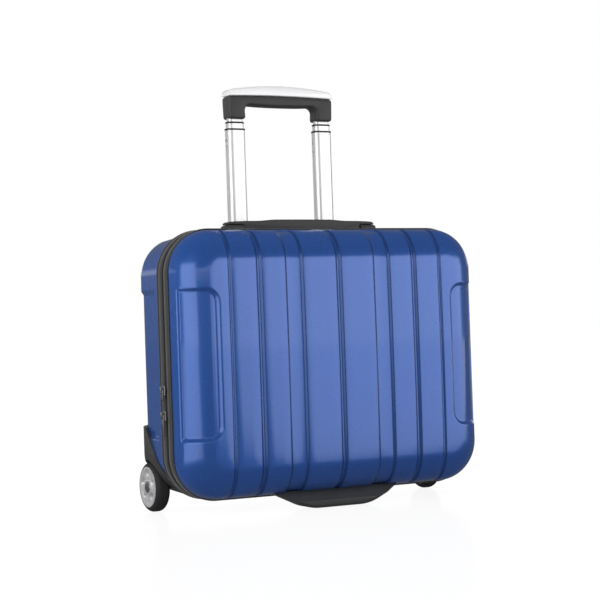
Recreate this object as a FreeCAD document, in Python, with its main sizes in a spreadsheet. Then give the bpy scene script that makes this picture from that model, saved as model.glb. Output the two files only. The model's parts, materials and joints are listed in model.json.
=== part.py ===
import FreeCAD, Part
import os
import re
import Sketcher

# Hard-shell rolling laptop case.  The working frame has its origin on the zip:
# X across the case, Y back from the zip plane, Z up from the ground.  Every
# finished piece is then moved by case_x and zip_y, which centre the whole case.

os.makedirs("parts", exist_ok=True)
doc = FreeCAD.newDocument("LaptopCase")
V = FreeCAD.Vector

# Numbers are sizes of their own; formulas follow the sizes that they name.
SIZES = {
    # whole case
    "case_x": 3.5, "zip_y": -26.75, "shell_width": 418.0, "shell_bottom": 18.5,
    "shell_top": 341.6, "corner": 54.0, "wall": 4.6, "gap": 0.3,
    "front_depth": 58.0, "rear_depth": 110.0, "front_edge": 40.0, "rear_edge": 36.0,
    "front_draft": 5.5, "rear_draft": 3.0, "lining_fit": 0.6, "lining_inset": "wall + lining_fit",
    # pressed grooves and side panels
    "groove_depth": 2.4, "groove_half": 4.5, "groove_pitch": 108.3,
    "band_inner": 48.2, "band_outer": 74.3, "step_at": 146.6, "step_half": 1.3,
    "panel_at": 160.4, "panel_low": 89.6, "panel_under": 69.8, "panel_corner": 18.0,
    "panel_high": "shell_top - panel_under",
    "panel_start": 30.0,
    # zip
    "lip": 16.5, "coil_edge": 1.7, "coil_gap": 0.2, "tape_proud": 2.0, "tape_inner": 6.0,
    "coil_sunk": 1.0, "coil_deep": 3.6, "hinge_half": 140.0,
    # rolling gear
    "wheel_radius": 30.6, "wheel_ahead": 34.0, "wheel_inset": 2.4, "wheel_width": 20.0,
    "wheel_y": "rear_depth - wheel_ahead", "wheel_face": "shell_width / 2 - wheel_inset",
    "tread": 6.2, "boss": 8.6, "rim": 21.4, "hub_sunk": 1.4, "window_deep": 7.0,
    "axle_radius": 4.0, "running": 0.06, "well_clear": 3.4,
    "housing_wall": 3.5, "housing_proud": 1.5, "housing_skin": 2.6,
    "shield_wide": 59.0, "shield_back": 108.0, "shield_high": 104.0, "shield_turn": 76.0,
    "shield_front": 17.0, "shield_low": 42.0,
    # front foot
    "foot_half": 88.0, "foot_flat": 42.0, "foot_rise": 21.5, "foot_curve": 60.0,
    "foot_front": 44.0,
    "foot_back": 19.0,
    # telescopic handle
    "tube_x": 63.2, "tube_ahead": 20.0, "tube_wide": 26.0, "tube_deep": 16.0,
    "tube_y": "rear_depth - tube_ahead",
    "tube_corner": 7.0, "tube_step": 1.3, "tube_wall": 1.0, "slide_fit": 0.1,
    "dock_low": 46.0, "dock_drop": 1.6, "collar_tall": 2.2, "collar_lip": 0.4,
    "first_out": 136.4, "first_long": 292.0, "second_out": 8.8, "second_long": 284.0,
    "third_out": 20.6, "third_long": 290.0, "plug_tall": 10.0, "slot_tall": 7.0,
    "slot_wide": 4.0, "dock_high": "shell_top - dock_drop",
    "first_top": "dock_high + first_out", "second_top": "first_top + second_out",
    "third_top": "second_top + third_out",
    "bezel_half": 93.0, "bezel_ahead": 17.0, "bezel_drop": 29.6, "bezel_rise": 7.9,
    "bezel_front": "tube_y - bezel_ahead", "bezel_low": "shell_top - bezel_drop",
    "bezel_high": "shell_top + bezel_rise", "bracket_half": 86.0, "bracket_deep": 11.0,
    # pull grip
    "socket_deep": 15.2, "leg_tall": 19.4, "bar_tall": 14.5, "cap_tall": 12.5, "cap_fall": 6.5,
    "leg_wall": 0.2, "leg_web": 1.6, "flare": 1.8, "flare_low": 8.0, "grip_deep": 11.6,
    "button_half": 22.0, "button_deep": 5.6, "button_tall": 20.0, "well_deep": 25.0,
    "grip_low": "third_top - socket_deep", "grip_under": "grip_low + leg_tall",
    "grip_shoulder": "grip_under + flare_low", "grip_crest": "grip_under + bar_tall",
    "cap_crest": "grip_crest + cap_tall", "cap_end": "cap_crest - cap_fall",
    "leg_outer": "tube_x + tube_wide / 2 - 2 * tube_step + leg_wall",
    "leg_inner": "tube_x - tube_wide / 2 + 2 * tube_step - leg_web",
    "grip_half": "leg_outer + flare", "socket_top": "third_top + slide_fit * 2",
    "button_low": "cap_crest - button_tall", "button_well": "cap_crest - well_deep",
    # top carry handle
    "carry_y": 41.0, "carry_half": 106.0, "carry_deep": 12.0, "mount_inner": 84.0,
    "mount_rise": 9.4, "mount_wall": 2.2, "tongue_rise": 0.6, "tongue_thick": 2.6,
    "carry_lift": 7.0, "carry_thick": 9.4, "arch_under": 57.0, "arch_top": 55.0,
    "mount_high": "shell_top + mount_rise", "tongue_low": "shell_top + tongue_rise",
    "carry_under": "shell_top + carry_lift", "carry_top": "carry_under + carry_thick",
    # sliders and pullers
    "slider_high": 151.0, "slider_low": 121.0, "slider_long": 13.0, "slider_wide": 9.0,
    "slider_thick": 2.6, "bail": 2.6, "puller_thick": 1.4, "puller_wide": 5.0,
    "puller_short": 15.0, "puller_long": 27.0,
    # linings and packing aids
    "back_space": 34.0, "panel_thick": 2.0, "bezel_under": 4.0, "front_space": 15.0,
    "back_panel": "rear_depth - back_space", "panel_top": "bezel_low - bezel_under",
    "front_panel": "front_depth - front_space",
    "sleeve_half": 162.0, "sleeve_deep": 25.4, "sleeve_fit": 0.6, "sleeve_low": 30.0,
    "sleeve_under": 51.6, "sleeve_back": "back_panel - sleeve_fit",
    "sleeve_front": "sleeve_back - sleeve_deep", "sleeve_top": "shell_top - sleeve_under",
    "sleeve_wall": 4.0, "strap_y": 30.0, "strap_z": 180.0,
    "strap_wide": 25.0, "strap_thick": 1.6, "strap_inset": 1.7, "buckle_half": 24.0, "buckle_tall": 33.0,
    "buckle_deep": 8.0, "pocket_half": 150.0, "pocket_deep": 11.0, "pocket_low": 60.0,
    "pocket_under": 91.6, "pocket_high": "shell_top - pocket_under",
}

sheet = doc.addObject("Spreadsheet::Sheet", "Sizes")
for row, word in enumerate(SIZES, start=1):
    sheet.set("A%d" % row, word)
    sheet.setAlias("B%d" % row, word)
for row, size in enumerate(SIZES.values(), start=1):
    sheet.set("B%d" % row, "=" + size if isinstance(size, str) else str(size))
doc.recompute()


def link(text):
    """Turns words of the size table in a formula into cell links."""
    return re.sub(r"[a-z_]+", lambda w: "Sizes." + w.group() if w.group() in SIZES
                  else w.group(), str(text))


def tie(thing, prop, text):
    thing.setExpression(prop, link(text))


def put(thing, x="0", y="0", z="0"):
    """Ties a construction piece to its place in the working frame."""
    for axis, text in zip("xyz", (x, y, z)):
        tie(thing, "Placement.Base." + axis, text)
    return thing


nodes = []


def finish(thing, name, x="0", y="0", z="0"):
    """Labels a finished piece and moves it from the working frame to the case frame."""
    thing.Label = name
    put(thing, "case_x + (%s)" % x, "zip_y + (%s)" % y, z)
    nodes.append(thing)
    return thing


def finish_block(name, x0, x1, y0, y1, z0, z1):
    """A plain block as a finished piece; its low corner is its place."""
    return finish(block(x0, x1, y0, y1, z0, z1), name, x0, y0, z0)


# ---- construction pieces -------------------------------------------------------

def block(x0, x1, y0, y1, z0, z1):
    box = doc.addObject("Part::Box", "Block")
    for prop, low, high in (("Length", x0, x1), ("Width", y0, y1), ("Height", z0, z1)):
        tie(box, prop, "(%s) - (%s)" % (high, low))
    return put(box, x0, y0, z0)


def rod(radius, length, x="0", y="0", z="0", along="X"):
    """A cylinder that starts at x, y, z and runs along an axis."""
    cyl = doc.addObject("Part::Cylinder", "Rod")
    tie(cyl, "Radius", radius)
    tie(cyl, "Height", length)
    turn = {"X": (V(0, 1, 0), 90), "Y": (V(1, 0, 0), -90), "Z": (V(0, 0, 1), 0)}[along]
    cyl.Placement = FreeCAD.Placement(V(0, 0, 0), FreeCAD.Rotation(*turn))
    return put(cyl, x, y, z)


def cut(base, tool):
    result = doc.addObject("Part::Cut", "Cut")
    result.Base, result.Tool = base, tool
    result.Refine = True
    return result


def fuse(*pieces):
    result = doc.addObject("Part::MultiFuse", "Fuse")
    result.Shapes = list(pieces)
    result.Refine = True
    return result


def common(*pieces):
    result = doc.addObject("Part::MultiCommon", "Common")
    result.Shapes = list(pieces)
    result.Refine = True
    return result


def soften(base, radius, chosen):
    """Fillets the edges that a test picks."""
    doc.recompute()
    result = doc.addObject("Part::Fillet", "Fillet")
    result.Base = base
    size = value(radius)
    result.Edges = [(i, size, size) for i, e in enumerate(base.Shape.Edges, 1) if chosen(e)]
    return result


# ---- sketch-built pieces -------------------------------------------------------

def body(name):
    return doc.addObject("PartDesign::Body", name)


def sketch_on(part, plane, offset=None):
    """A sketch on one of the body's own planes."""
    sk = part.newObject("Sketcher::SketchObject", "Sketch")
    own = [f for f in part.Origin.OriginFeatures if f.Role == plane + "_Plane"][0]
    sk.AttachmentSupport = [(own, "")]
    sk.MapMode = "FlatFace"
    if offset is not None:
        tie(sk, "AttachmentOffset.Base.z", offset)
    return sk


def dimension(sk, kind, args, text, start):
    index = sk.addConstraint(Sketcher.Constraint(kind, *args, start))
    sk.setExpression("Constraints[%d]" % index, link(text))


def value(text):
    """The number that a formula of size words gives."""
    return reckon(re.sub(r"[a-z_]+", lambda w: "(%s)" % value(SIZES[w.group()]), str(text)))


def reckon(text):
    tokens = re.findall(r"[0-9.]+(?:e-?[0-9]+)?|[-+*/()]", text)

    def atom():
        item = tokens.pop(0)
        if item == "(":
            result = total()
            tokens.pop(0)
            return result
        return -atom() if item == "-" else float(item)

    def product():
        result = atom()
        while tokens and tokens[0] in "*/":
            result = result * atom() if tokens.pop(0) == "*" else result / atom()
        return result

    def total():
        result = product()
        while tokens and tokens[0] in "+-":
            result = result + product() if tokens.pop(0) == "+" else result - product()
        return result
    return total()


def round_rect(sk, wide, tall, radius):
    """A rounded rectangle about the sketch's origin, fully constrained."""
    w, h, r = value(wide) / 2, value(tall) / 2, value(radius)
    first = sk.GeometryCount
    corners = [(w - r, r - h, -90), (w - r, h - r, 0), (r - w, h - r, 90), (r - w, r - h, 180)]
    ends = [((r - w, -h), (w - r, -h)), ((w, r - h), (w, h - r)),
            ((w - r, h), (r - w, h)), ((-w, h - r), (-w, r - h))]
    for (x, y, start), (p, q) in zip(corners, ends):
        sk.addGeometry(Part.LineSegment(V(*p, 0), V(*q, 0)), False)
        ring = Part.Circle(V(x, y, 0), V(0, 0, 1), r)
        a = start * 3.141592653589793 / 180
        sk.addGeometry(Part.ArcOfCircle(ring, a, a + 1.5707963267948966), False)
    for i in range(8):
        here, after = first + i, first + (i + 1) % 8
        sk.addConstraint(Sketcher.Constraint("Tangent", here, 2, after, 1))
    for i, way in enumerate(("Horizontal", "Vertical") * 2):
        sk.addConstraint(Sketcher.Constraint(way, first + 2 * i))
    for i in (3, 5, 7):
        sk.addConstraint(Sketcher.Constraint("Equal", first + 1, first + i))
    sk.addConstraint(Sketcher.Constraint("Symmetric", first, 1, first + 4, 1, -1, 1))
    dimension(sk, "Radius", (first + 1,), radius, r)
    dimension(sk, "DistanceX", (first + 6, 1, first + 2, 1), wide, 2 * w)
    dimension(sk, "DistanceY", (first, 1, first + 4, 1), tall, 2 * h)


def polygon(sk, points):
    """A closed outline with each corner tied to two formulas."""
    first = sk.GeometryCount
    at = [V(value(x), value(y), 0) for x, y in points]
    for i, p in enumerate(at):
        sk.addGeometry(Part.LineSegment(p, at[(i + 1) % len(at)]), False)
    for i, (x, y) in enumerate(points):
        sk.addConstraint(Sketcher.Constraint(
            "Coincident", first + i, 2, first + (i + 1) % len(at), 1))
        dimension(sk, "DistanceX", (-1, 1, first + i, 1), x, at[i].x)
        dimension(sk, "DistanceY", (-1, 1, first + i, 1), y, at[i].y)


def circle(sk, x, y, radius):
    index = sk.addGeometry(
        Part.Circle(V(value(x), value(y), 0), V(0, 0, 1), value(radius)), False)
    dimension(sk, "Radius", (index,), radius, value(radius))
    dimension(sk, "DistanceX", (-1, 1, index, 3), x, value(x))
    dimension(sk, "DistanceY", (-1, 1, index, 3), y, value(y))


def pad(part, sk, length, back=False, both=False):
    made = part.newObject("PartDesign::Pad", "Pad")
    made.Profile = sk
    tie(made, "Length", length)
    made.Reversed, made.Midplane = back, both
    sk.Visibility = False
    part.Tip = made
    return made


def pocket(part, sk, length, back=False, both=False):
    made = part.newObject("PartDesign::Pocket", "Pocket")
    made.Profile = sk
    tie(made, "Length", length)
    made.Reversed, made.Midplane = back, both
    part.Tip = made
    return made


def spin(part, sk):
    """Revolves a profile about the body's X axis."""
    made = part.newObject("PartDesign::Revolution", "Revolution")
    made.Profile = sk
    made.ReferenceAxis = (sk, ["H_Axis"])
    made.Angle = 360
    part.Tip = made
    return made


def ring_body(name, plane, outer, inner, length, back=False):
    """A padded rounded-rectangle ring, or a plain pad when inner is None."""
    part = body(name)
    sk = sketch_on(part, plane)
    round_rect(sk, *outer)
    if inner is not None:
        round_rect(sk, *inner)
    pad(part, sk, length, back)
    return part


# ---- the case form -------------------------------------------------------------

mid_height = "(shell_bottom + shell_top) / 2"
forms = {}


def form(inset, rear):
    """The closed, drafted outer form of one half, shrunk all round by inset."""
    if (inset, rear) in forms:
        return forms[inset, rear]
    word = "rear" if rear else "front"
    depth, edge = word + "_depth", word + "_edge"
    slab = ring_body("Form", "XZ",
                     ("shell_width - 2 * (%s)" % inset,
                      "shell_top - shell_bottom - 2 * (%s)" % inset,
                      "corner - (%s)" % inset), None,
                     "%s - (%s)" % (depth, inset), back=rear)
    put(slab, z=mid_height)
    tie(slab.Tip, "TaperAngle", "-" + word + "_draft")
    radius = value("%s - (%s)" % (edge, inset))
    doc.recompute()
    far = value(depth) * 0.6 * (1 if rear else -1)

    def on_rim(e):
        y = e.BoundBox.Center.y
        return (y > far if rear else y < far) and e.BoundBox.YLength < 20
    made = soften(slab, str(radius), on_rim)
    doc.recompute()
    forms[inset, rear] = made
    return made


def half_shell(rear):
    """One moulded half: drafted form, pressed grooves, side panels and hollow."""
    sign = 1 if rear else -1
    lip = "%d * lip" % sign
    far = "%d * 2 * rear_depth" % sign
    y0, y1 = (lip, far) if rear else (far, lip)
    strips = [("-groove_half", "groove_half"),
              ("groove_pitch - groove_half", "groove_pitch + groove_half"),
              ("band_inner", "band_outer"),
              ("step_at - step_half", "step_at + step_half")]
    slabs = []
    for low, high in strips:
        slabs.append(block(low, high, y0, y1, "0", "shell_top + 60"))
        if low[0] != "-":
            slabs.append(block("-(%s)" % high, "-(%s)" % low, y0, y1, "0", "shell_top + 60"))
    start = "%d * panel_start" % sign
    p0, p1 = (start, far) if rear else (far, start)
    for side in (-1, 1):
        x0, x1 = ("panel_at", "shell_width") if side > 0 else ("-shell_width", "-panel_at")
        slab = block(x0, x1, p0, p1, "panel_low", "panel_high")
        edge_x = value("panel_at") * side
        slabs.append(soften(slab, "panel_corner", lambda e: e.BoundBox.YLength > 60
                            and abs(e.BoundBox.Center.x - edge_x) < 1))
    pressed = cut(fuse(*slabs), form("groove_depth", rear))
    skin = cut(form("0", rear), pressed)
    trim = block("-300", "300", *(("-20", "lip") if rear else ("-lip", "20")), "0", "shell_top + 60")
    return cut(cut(skin, form("wall", rear)), trim)


# front lid
finish(half_shell(False), "front_shell")

# rear half: openings for the wheel shields and for the handle bezel
shield_start = "shell_width / 2 - shield_wide"


def shield(side, clear):
    """The side profile of a corner shield as a prism from the wheel well outwards."""
    part = body("Shield")
    sk = sketch_on(part, "YZ")
    polygon(sk, [("shield_front - (%s)" % clear, "0"),
                 ("rear_depth + 30", "0"),
                 ("rear_depth + 30", "shield_back + (%s)" % clear),
                 ("shield_turn", "shield_high + (%s)" % clear),
                 ("shield_front - (%s)" % clear, "shield_low + (%s)" % clear)])
    pad(part, sk, "shield_wide + 30")
    return put(part, x=shield_start if side > 0 else "-(%s) - shield_wide - 30" % shield_start)


shell = half_shell(True)
tools = [shield(side, "gap / 2") for side in (-1, 1)]
tools.append(block("-bezel_half - gap / 2", "bezel_half + gap / 2", "bezel_front - gap / 2", "140",
                   "bezel_low - gap / 2", "shell_top + 60"))
finish(cut(shell, fuse(*tools)), "rear_shell")

# ---- zip bands, coils and the cloth hinge --------------------------------------

for rear in (False, True):
    word = "rear" if rear else "front"
    sign = 1 if rear else -1
    tape = ring_body("Tape", "XZ",
                     ("shell_width + 2 * tape_proud", "shell_top - shell_bottom + 2 * tape_proud",
                      "corner + tape_proud"),
                     ("shell_width - 2 * tape_inner", "shell_top - shell_bottom - 2 * tape_inner",
                      "corner - tape_inner"), "lip - coil_edge", back=rear)
    finish(tape, word + "_band", y="%d * coil_edge" % sign, z=mid_height)
    coil = ring_body("Coil", "XZ",
                     ("shell_width + 2 * (tape_proud - coil_sunk)",
                      "shell_top - shell_bottom + 2 * (tape_proud - coil_sunk)",
                      "corner + tape_proud - coil_sunk"),
                     ("shell_width + 2 * (tape_proud - coil_deep)",
                      "shell_top - shell_bottom + 2 * (tape_proud - coil_deep)",
                      "corner + tape_proud - coil_deep"), "coil_edge - coil_gap", back=rear)
    put(coil, y="%d * coil_gap" % sign, z=mid_height)
    bottom = block("-hinge_half - 1", "hinge_half + 1", "-10", "10", "0", "60")
    finish(cut(coil, bottom), word + "_zip_coil")
    y0, y1 = ("coil_gap", "coil_edge") if rear else ("-coil_edge", "-coil_gap")
    low = "shell_bottom - tape_proud"
    finish_block(word + "_hinge_tape", "-hinge_half", "hinge_half", y0, y1,
                 low, low + " + coil_deep")

# ---- front foot ----------------------------------------------------------------

foot = body("Foot")
sk = sketch_on(foot, "XZ")
polygon(sk, [("-foot_half", "60"), ("-foot_half", "foot_rise"), ("-foot_flat", "0"),
             ("foot_flat", "0"), ("foot_half", "foot_rise"), ("foot_half", "60")])
pad(foot, sk, "foot_front - foot_back")
put(foot, y="-foot_back")
foot = soften(foot, "foot_curve", lambda e: e.BoundBox.YLength > 5 and e.BoundBox.Center.z < 1)
foot = soften(foot, "4", lambda e: e.BoundBox.YLength < 1 and e.BoundBox.ZMax < 20
              and e.BoundBox.Center.y < -value("foot_back") - 1)
finish(cut(foot, form("0", False)), "front_foot")

# ---- wheels, axles and corner shields ------------------------------------------

well_radius = "wheel_radius + well_clear"
inner_face = "wheel_face - wheel_width"
nut_face = inner_face + " - 1 - housing_wall"
for side, word in ((-1, "left"), (1, "right")):

    def across(radius, start, stop="shell_width"):
        """A cylinder on the wheel's axis between two distances from the centre plane."""
        length = "(%s) - (%s)" % (stop, start)
        x = start if side > 0 else "-(%s)" % stop
        return rod(radius, length, x, "wheel_y", "wheel_radius")

    outer = form("-housing_proud", True)
    skin = cut(common(shield(side, "0"), outer), form("housing_skin", True))
    cup = common(across(well_radius + " + housing_wall", nut_face), outer)
    keep = block("-300", "300", "shield_front", "200", "0", "shell_top + 60")
    shape = cut(common(fuse(skin, cup), keep), fuse(
        across(well_radius, inner_face + " - 1"),
        across("axle_radius + 2 + gap", shield_start, nut_face),
        across("axle_radius", shield_start)))
    finish(shape, "wheel_housing_" + word)

    head = across("boss - 2", "wheel_face - 1.2", "wheel_face + 0.4")
    shaft = across("axle_radius", nut_face + " - 3", "wheel_face - 1.2")
    nut = across("axle_radius + 2", nut_face + " - 3", nut_face)
    finish(fuse(head, shaft, nut), "axle_" + word)

    tyre = body("Tyre")
    sk = sketch_on(tyre, "XY")
    polygon(sk, [("0", "wheel_radius - tread"), ("wheel_width", "wheel_radius - tread"),
                 ("wheel_width", "wheel_radius - 3.4"), ("wheel_width - 1.2", "wheel_radius - 1.2"),
                 ("wheel_width - 3.6", "wheel_radius"), ("3.6", "wheel_radius"),
                 ("1.2", "wheel_radius - 1.2"), ("0", "wheel_radius - 3.4")])
    spin(tyre, sk)
    hub = body("Hub")
    sk = sketch_on(hub, "XY")
    bore = "axle_radius + running"
    polygon(sk, [("0.4", bore), ("wheel_width - 1.5", bore), ("wheel_width - 1.5", "boss - 1.2"),
                 ("wheel_width", "boss - 1.2"), ("wheel_width", "boss"),
                 ("wheel_width - hub_sunk", "boss"), ("wheel_width - hub_sunk", "rim"),
                 ("wheel_width", "rim + 1"),
                 ("wheel_width", "wheel_radius - tread"), ("2", "wheel_radius - tread"),
                 ("2", "20"), ("5", "19"), ("5", "9"), ("0.4", "8")])
    spin(hub, sk)
    sk = sketch_on(hub, "YZ", "wheel_width")
    circle(sk, "0", "(boss + rim) / 2", "(rim - boss) / 2 - 0.2")
    window = pocket(hub, sk, "window_deep")
    fan = hub.newObject("PartDesign::PolarPattern", "Fan")
    fan.Originals = [window]
    fan.Axis = (sk, ["N_Axis"])
    fan.Angle = 360
    fan.Occurrences = 5
    hub.Tip = fan
    for piece, name in ((tyre, "wheel_tyre_"), (hub, "wheel_hub_")):
        if side < 0:
            piece.Placement = FreeCAD.Placement(V(0, 0, 0), FreeCAD.Rotation(V(0, 0, 1), 180))
        x = "%d * (%s)" % (side, inner_face)
        finish(piece, name + word, x, "wheel_y", "wheel_radius")

# ---- telescopic handle ---------------------------------------------------------


def section(grow, extra="0"):
    """Width, depth and corner of a tube section, grown on each side."""
    add = "2 * (%s + (%s))" % (grow, extra)
    return ("tube_wide + " + add, "tube_deep + " + add, "tube_corner + (%s + (%s))" % (grow, extra))


def tube(grow, long, hollow=True):
    inner = section(grow, "-tube_wall") if hollow else None
    return ring_body("Tube", "XY", section(grow), inner, long)


STAGES = (("first", "0"), ("second", "-tube_step"), ("third", "-2 * tube_step"))
for side, word in ((-1, "left"), (1, "right")):
    x = "%d * tube_x" % side
    finish(tube("tube_step", "dock_high - dock_low"), "dock_tube_" + word, x, "tube_y", "dock_low")
    for i, (stage, grow) in enumerate(STAGES):
        top, long = stage + "_top", stage + "_long"
        pipe = put(tube(grow, long), x, "tube_y", "%s - %s" % (top, long))
        if i < 2:
            wide = "tube_wide / 2 + (%s)" % grow
            count = 2 if side < 0 else 3
            slots = [block("%s - (%s) - 1" % (x, wide), "%s - (%s) + 2" % (x, wide),
                           "tube_y - slot_wide / 2", "tube_y + slot_wide / 2",
                           "%s - %d - slot_tall" % (top, 8 + 12 * n), "%s - %d" % (top, 8 + 12 * n))
                     for n in range(count)]
            pipe = cut(pipe, fuse(*slots))
            finish(pipe, "%s_tube_%s" % (stage, word))
            collar = ring_body("Collar", "XY", section(grow, "collar_lip"),
                               section(grow, "slide_fit - tube_step"), "collar_tall")
            finish(collar, "%s_collar_%s" % (stage, word), x, "tube_y", top)
        else:
            finish(pipe, "%s_tube_%s" % (stage, word), x, "tube_y", "%s - %s" % (top, long))
        plug = ring_body("Plug", "XY", section(grow, "gap - slide_fit"), None, "plug_tall")
        finish(plug, "%s_plug_%s" % (stage, word), x, "tube_y",
               "%s - %s - plug_tall" % (top, long))

# top bezel that guides the first stage
bezel = block("-bezel_half", "bezel_half", "bezel_front", "rear_depth", "bezel_low", "bezel_high")
bezel = soften(bezel, "7", lambda e: e.BoundBox.Center.z > value("bezel_high") - 1
               and e.BoundBox.ZLength < 1)
holes = []
for side in (-1, 1):
    x = "%d * tube_x" % side
    low = ring_body("Low", "XY", section("tube_step"), None, "dock_high - bezel_low + 5")
    holes.append(put(low, x, "tube_y", "bezel_low - 5"))
    high = ring_body("High", "XY", section("slide_fit"), None, "30")
    holes.append(put(high, x, "tube_y", "dock_high - 1"))
finish(cut(bezel, fuse(*holes)), "trolley_bezel")

bracket = block("-bracket_half", "bracket_half", "tube_y - bracket_deep", "tube_y + 30",
                "shell_bottom + 1", "dock_low")
finish(common(bracket, form("lining_inset - gap", True)), "tube_bracket")

# pull grip with its cap and release button
grip = body("Grip")
sk = sketch_on(grip, "XZ")
polygon(sk, [("-leg_outer", "grip_low"), ("-leg_inner", "grip_low"),
             ("-leg_inner + 1", "grip_under - 5"), ("-leg_inner + 6", "grip_under"),
             ("leg_inner - 6", "grip_under"), ("leg_inner - 1", "grip_under - 5"),
             ("leg_inner", "grip_low"), ("leg_outer", "grip_low"), ("grip_half", "grip_shoulder"),
             ("grip_half", "cap_crest + 5"), ("-grip_half", "cap_crest + 5"),
             ("-grip_half", "grip_shoulder")])
pad(grip, sk, "2 * grip_deep", both=True)
put(grip, y="tube_y")


def arch(crest, shoulder):
    """A cylinder across the handle whose top is an arc through crest and shoulders."""
    rise = "(%s - %s)" % (crest, shoulder)
    radius = "(grip_half * grip_half / %s + %s) / 2" % (rise, rise)
    return rod(radius, "60", "0", "tube_y - 30", "%s - (%s)" % (crest, radius), along="Y")


high_arch = arch("cap_crest", "cap_end")
below_cap = block("-100", "100", "tube_y - 30", "tube_y + 30", "grip_low - 60", "grip_crest")
well = block("-button_half - gap", "button_half + gap", "tube_y - button_deep - gap",
             "tube_y + button_deep + gap", "button_well", "cap_crest + 60")
sockets = []
for side in (-1, 1):
    sk_body = ring_body("Socket", "XY", section("-2 * tube_step"), None, "socket_top - grip_low + 2")
    sockets.append(put(sk_body, "%d * tube_x" % side, "tube_y", "grip_low - 2"))
rough = common(grip, below_cap)


def leg_edge(e):
    """The front and back edges of the legs, which run mostly upwards."""
    box = e.BoundBox
    return box.YLength < 1 and box.ZLength > 3 and e.Length > 5


handle = soften(rough, "6.5", leg_edge)
finish(cut(handle, fuse(well, *sockets)), "pull_grip")
cap_rough = soften(cut(common(grip, high_arch), below_cap), "6.4", lambda e: e.BoundBox.YLength < 1
                   and e.BoundBox.XLength < 1 and e.Length > 3)
cap_block = soften(cap_rough, "2.5", lambda e: e.BoundBox.ZMin > value("cap_end") - 1)
finish(cut(cap_block, well), "grip_cap")
button = block("-button_half", "button_half", "tube_y - button_deep", "tube_y + button_deep",
               "button_low", "cap_crest + 60")
finish(common(button, high_arch), "release_button")

# ---- top carry handle ----------------------------------------------------------

carry = body("Carry")
sk = sketch_on(carry, "XZ")
tongue_end = "carry_half - mount_wall - 3"
high = "tongue_low + tongue_thick"
polygon(sk, [("-(%s)" % tongue_end, "tongue_low"), ("-mount_inner + 5", "tongue_low"),
             ("-arch_under", "carry_under"), ("arch_under", "carry_under"),
             ("mount_inner - 5", "tongue_low"), (tongue_end, "tongue_low"),
             (tongue_end, high), ("mount_inner - 3", high), ("arch_top", "carry_top"),
             ("-arch_top", "carry_top"), ("-mount_inner + 3", high),
             ("-(%s)" % tongue_end, high)])
pad(carry, sk, "2 * (carry_deep - mount_wall - gap)", both=True)
put(carry, y="carry_y")
carry_round = soften(carry, "2", lambda e: e.BoundBox.YLength < 1 and e.Length > 25
                     and e.BoundBox.Center.z > value("shell_top") + 8)
finish(carry_round, "carry_handle")
for side, word in ((-1, "left"), (1, "right")):
    low, high = ("mount_inner", "carry_half") if side > 0 else ("-carry_half", "-mount_inner")
    cap = block(low, high, "carry_y - carry_deep", "carry_y + carry_deep",
                "shell_top - 6", "mount_high")
    outer_x = value("carry_half") * side
    cap = soften(cap, "3", lambda e: e.BoundBox.Center.z > value("shell_top") + 8 and e.BoundBox.ZLength < 1
                 and abs(e.BoundBox.Center.x) > value("mount_inner") + 1)
    low, high = ("0", "carry_half - mount_wall") if side > 0 else ("mount_wall - carry_half", "0")
    hollow = block(low, high, "carry_y - carry_deep + mount_wall", "carry_y + carry_deep - mount_wall",
                   "shell_top - 10", "mount_high - mount_wall")
    finish(cut(cut(cap, hollow), form("0", True)), "carry_mount_" + word)

# ---- zip sliders and pullers on the left side ----------------------------------

rail = "-(shell_width / 2 + tape_proud + gap)"
for word, z, long in (("upper", "slider_high", "puller_short"), ("lower", "slider_low", "puller_long")):
    plate = block(rail + " - slider_thick", rail, "-slider_wide / 2", "slider_wide / 2",
                  z + " - slider_long / 2", z + " + slider_long / 2")
    plate = soften(plate, "1.1", lambda e: e.BoundBox.XLength > 1)
    out = rail + " - slider_thick"
    arch_body = block(out + " - bail - puller_thick", out + " + 0.5", "-1.2", "1.2",
                      z + " - 3", z + " + 5")
    window = block(out + " - puller_thick - 0.9", out + " + 0.2", "-2", "2", z + " - 1.2", z + " + 3.4")
    finish(fuse(plate, cut(arch_body, window)), "zip_slider_" + word)
    face = out + " - 0.45"
    blade = block(face + " - puller_thick", face, "-puller_wide / 2", "puller_wide / 2",
                  "%s + 2.6 - %s" % (z, long), z + " + 2.6")
    blade = soften(blade, "1.2", lambda e: e.BoundBox.XLength > 1 and e.Length < 3)
    eye = block(face + " - 5", face + " + 3", "-1.6", "1.6", z + " - 4", z + " + 1.2")
    finish(cut(blade, eye), "zip_puller_" + word)

# ---- linings, laptop sleeve and packing strap ----------------------------------

inside = form("lining_inset", True)
panel = block("-shell_width", "shell_width", "back_panel", "back_panel + panel_thick", "0", "panel_top")
cups = [rod(well_radius + " + housing_wall + 1", "90", x, "wheel_y", "wheel_radius")
        for x in ("wheel_face - wheel_width - 10", "-(wheel_face - wheel_width - 10) - 90")]
finish(cut(common(panel, inside), fuse(*cups)), "back_lining")

inside_lid = form("lining_inset", False)
panel = block("-shell_width", "shell_width", "-front_panel", "panel_thick - front_panel", "0",
              "shell_top + 60")
finish(common(panel, inside_lid), "front_lining")
panel_face = "-front_panel + panel_thick + gap"
finish_block("organiser_pocket", "-pocket_half", "pocket_half",
             panel_face, panel_face + " + pocket_deep", "pocket_low", "pocket_high")

sleeve = block("-sleeve_half", "sleeve_half", "sleeve_front", "sleeve_back", "sleeve_low",
               "sleeve_top")
slot = block("sleeve_wall - sleeve_half", "sleeve_half - sleeve_wall", "sleeve_front + sleeve_wall",
             "sleeve_back - sleeve_wall", "sleeve_low + sleeve_wall", "sleeve_top + 60")
finish(cut(sleeve, slot), "laptop_sleeve")

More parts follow.
